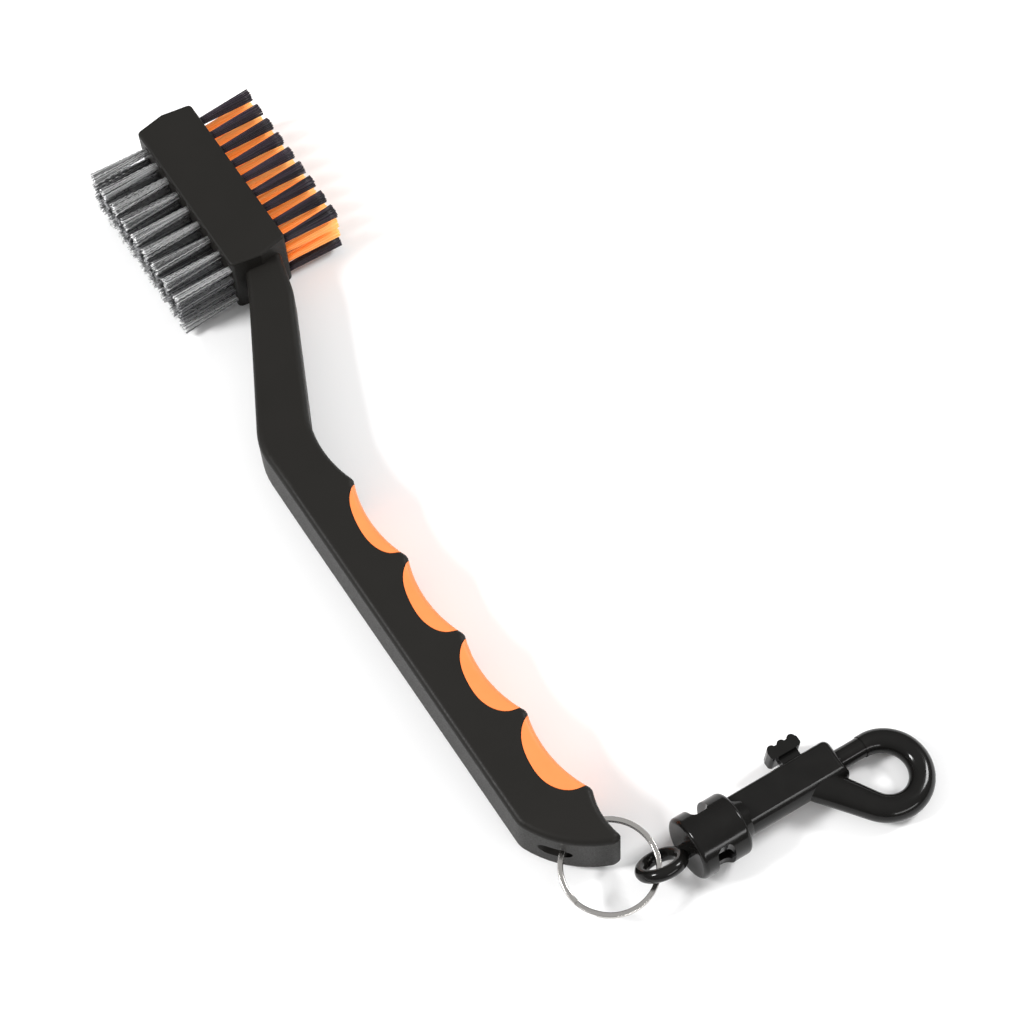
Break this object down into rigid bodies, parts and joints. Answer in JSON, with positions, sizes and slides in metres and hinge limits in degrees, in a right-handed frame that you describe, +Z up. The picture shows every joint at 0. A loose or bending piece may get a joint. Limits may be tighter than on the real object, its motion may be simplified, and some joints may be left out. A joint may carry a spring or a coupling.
{
  "type": "club groove brush",
  "caption": "Hand brush for golf club grooves: offset handle with finger grips, nylon and steel wire bristles on opposite faces, and a swivel bolt clip held by a split ring.",
  "frame": {"origin": "centre of the whole object's base on the table, directly below the centre of its plan bounding box", "axes": "+X along the handle from the toe to the head, +Y towards the steel bristles and the grip's straight back, +Z up from the table the brush lies on"},
  "size_m": [0.2264, 0.082, 0.0185],
  "materials": {
    "black_plastic": "satin moulded, fine grain",
    "orange_rubber": "soft matte, two-shot moulded",
    "black_nylon": "straight filaments",
    "orange_nylon": "straight filaments",
    "steel_wire": "crimped wire",
    "staple_brass": "flat stamped wire",
    "ring_steel": "polished",
    "gloss_black_plastic": "glossy moulded",
    "spring_steel": "plain wire"
  },
  "bodies": {
    "brush": {"finger_insert_1": "orange_rubber", "finger_insert_2": "orange_rubber", "finger_insert_3": "orange_rubber", "finger_insert_4": "orange_rubber", "handle": "black_plastic", "nylon_anchor_staples": "staple_brass", "nylon_row_black_bottom": "black_nylon", "nylon_row_black_top": "black_nylon", "nylon_row_orange_lower": "orange_nylon", "nylon_row_orange_upper": "orange_nylon", "steel_anchor_staples": "staple_brass", "steel_row_bottom": "steel_wire", "steel_row_lower": "steel_wire", "steel_row_top": "steel_wire", "steel_row_upper": "steel_wire"},
    "ring": {"split_ring": "ring_steel"},
    "eye": {"swivel_eye": "gloss_black_plastic"},
    "snap": {"snap_body": "gloss_black_plastic", "bolt_spring": "spring_steel"},
    "bolt": {"gate_bolt": "gloss_black_plastic", "thumb_lug": "gloss_black_plastic"}
  },
  "joints": [
    {"name": "ring_swing", "type": "hinge", "parent": "brush", "child": "ring", "pos_m": [-0.08066, 0.02913, 0.00925], "axis": [0, 1, 0], "range_deg": [-30, 40]},
    {"name": "eye_swing", "type": "hinge", "parent": "ring", "child": "eye", "pos_m": [-0.09496, 0.02073, 0.008], "axis": [0.8328, -0.5487, 0.0729], "range_deg": [-60, 60]},
    {"name": "snap_swivel", "type": "hinge", "parent": "eye", "child": "snap", "pos_m": [-0.09496, 0.01633, 0.0084], "axis": [0, -0.9947, -0.1027], "continuous": true},
    {"name": "bolt_slide", "type": "slide", "parent": "snap", "child": "bolt", "axis": [0, 0.9947, 0.1027], "range_m": [0, 0.007], "stiffness_N_per_m": 300, "springref_m": -0.004, "deforming": ["bolt_spring"]}
  ]
}
